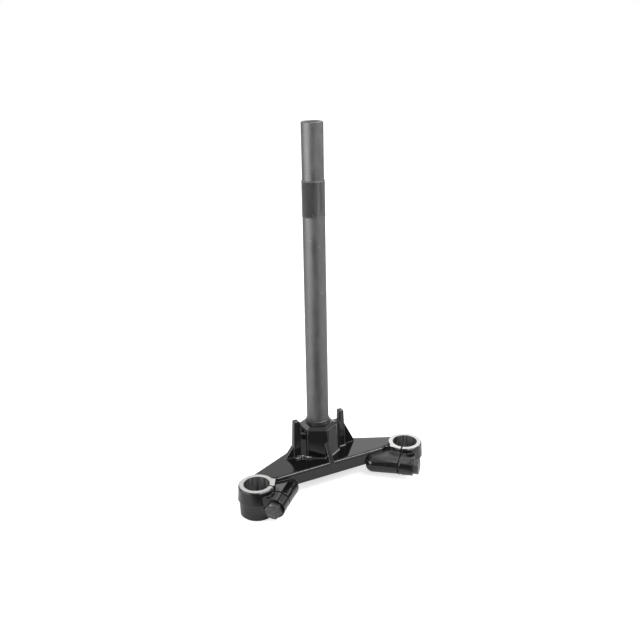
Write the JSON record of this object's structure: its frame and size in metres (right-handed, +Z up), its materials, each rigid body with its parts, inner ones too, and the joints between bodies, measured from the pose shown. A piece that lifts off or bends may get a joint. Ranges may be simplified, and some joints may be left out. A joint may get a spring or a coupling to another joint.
{
  "type": "motorcycle triple clamp",
  "caption": "Lower triple clamp: split fork clamps closed by pinch bolts, stop horns beside the stem boss, and a long hollow steering stem pressed through it.",
  "frame": {"origin": "on the stem axis at the bearing shoulder on top of the boss", "axes": "+Z up the stem, +X along the line through the fork axes, and the fork clamps on the -Y side"},
  "size_m": [0.2438, 0.1127, 0.427],
  "materials": {
    "yoke_paint": "gloss black stove enamel over a steel casting",
    "stem_steel": "turned and oiled",
    "bolt_steel": "dull zinc plated"
  },
  "bodies": {
    "root": {"lower_yoke": "yoke_paint", "steering_stem": "stem_steel", "pinch_bolt_left": "bolt_steel", "pinch_bolt_right": "bolt_steel"}
  },
  "joints": []
}
